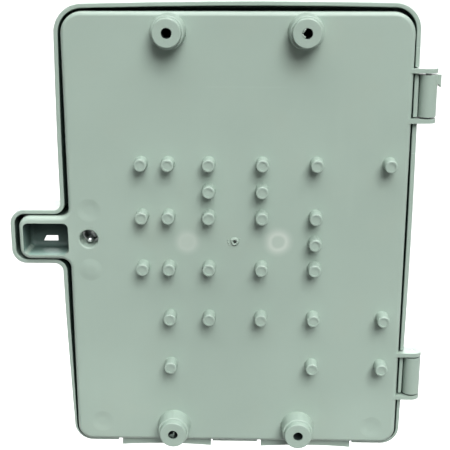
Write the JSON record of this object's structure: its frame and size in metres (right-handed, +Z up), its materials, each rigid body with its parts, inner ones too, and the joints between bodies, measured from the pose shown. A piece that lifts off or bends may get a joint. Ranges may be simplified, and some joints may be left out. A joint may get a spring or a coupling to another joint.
{
  "type": "fiber termination box",
  "caption": "Wall-mounted fiber termination box: shallow base on stand-offs, deep hinged cover with latch ear, splice tray, splitter, adapter panel and cable ports.",
  "frame": {"origin": "centre of the four wall stand-offs, in the wall plane", "axes": "+Y into the wall (the box stands off towards -Y), +Z up, +X from the hinges towards the latch ear"},
  "size_m": [0.3014, 0.1165, 0.3329],
  "materials": {
    "base_plastic": "moulded weatherproof thermoplastic, pale grey-green, fine satin texture",
    "cover_plastic": "moulded weatherproof thermoplastic, pale grey-green, fine satin texture",
    "collar_plastic": "moulded thermoplastic, grey-green",
    "seal_rubber": "black sponge rubber",
    "grommet_rubber": "soft black moulded rubber",
    "plated_metal": "bright zinc-plated steel",
    "steel": "zinc-plated steel",
    "sheet_metal": "powder-coated steel sheet, light grey",
    "tray_plastic": "white moulded plastic",
    "holder_foam": "dark grey elastic splice comb",
    "clear_plastic": "clear polycarbonate",
    "cassette_plastic": "dark moulded plastic",
    "adapter_plastic": "green moulded plastic, as angled-contact adapters are",
    "cap_plastic": "soft red plastic",
    "clamp_plastic": "black nylon",
    "guide_plastic": "white nylon",
    "brass": "machined brass",
    "label_plastic": "blank engraved-plate stock, no text"
  },
  "bodies": {
    "base": {"base_shell": "base_plastic", "cover_seal": "seal_rubber", "latch_bushing": "base_plastic", "latch_sleeve": "plated_metal", "latch_keeper": "plated_metal", "upper_hinge_pin": "steel", "lower_hinge_pin": "steel", "feeder_port_collar": "collar_plastic", "drop_port_collar": "collar_plastic", "feeder_grommet": "grommet_rubber", "drop_grommet": "grommet_rubber", "collar_screws": "steel", "plate_spacers": "guide_plastic", "mounting_plate": "sheet_metal", "plate_screws": "steel", "splice_tray": "tray_plastic", "splice_holder": "holder_foam", "splice_cover": "clear_plastic", "splitter_cassette": "cassette_plastic", "adapter_panel": "sheet_metal", "panel_screws": "steel", "sc_adapters": "adapter_plastic", "adapter_springs": "steel", "dust_caps": "cap_plastic", "cable_clamps": "clamp_plastic", "clamp_screws": "steel", "drop_comb": "clamp_plastic", "fibre_guides": "guide_plastic", "ground_stud": "brass", "ground_washer": "steel", "ground_nut": "brass"},
    "cover": {"cover_shell": "cover_plastic", "latch_washer": "seal_rubber", "label_plate": "label_plastic"},
    "latch": {"latch_shaft": "plated_metal", "latch_bar": "plated_metal", "latch_clip": "steel"}
  },
  "joints": [
    {"name": "cover_hinge", "type": "hinge", "parent": "base", "child": "cover", "pos_m": [-0.1306, -0.0228, 0], "axis": [0, 0, -1], "range_deg": [0, 105]},
    {"name": "latch_turn", "type": "hinge", "parent": "cover", "child": "latch", "pos_m": [0.1058, -0.06, -0.0001], "axis": [0, 1, 0], "range_deg": [0, 90]}
  ]
}
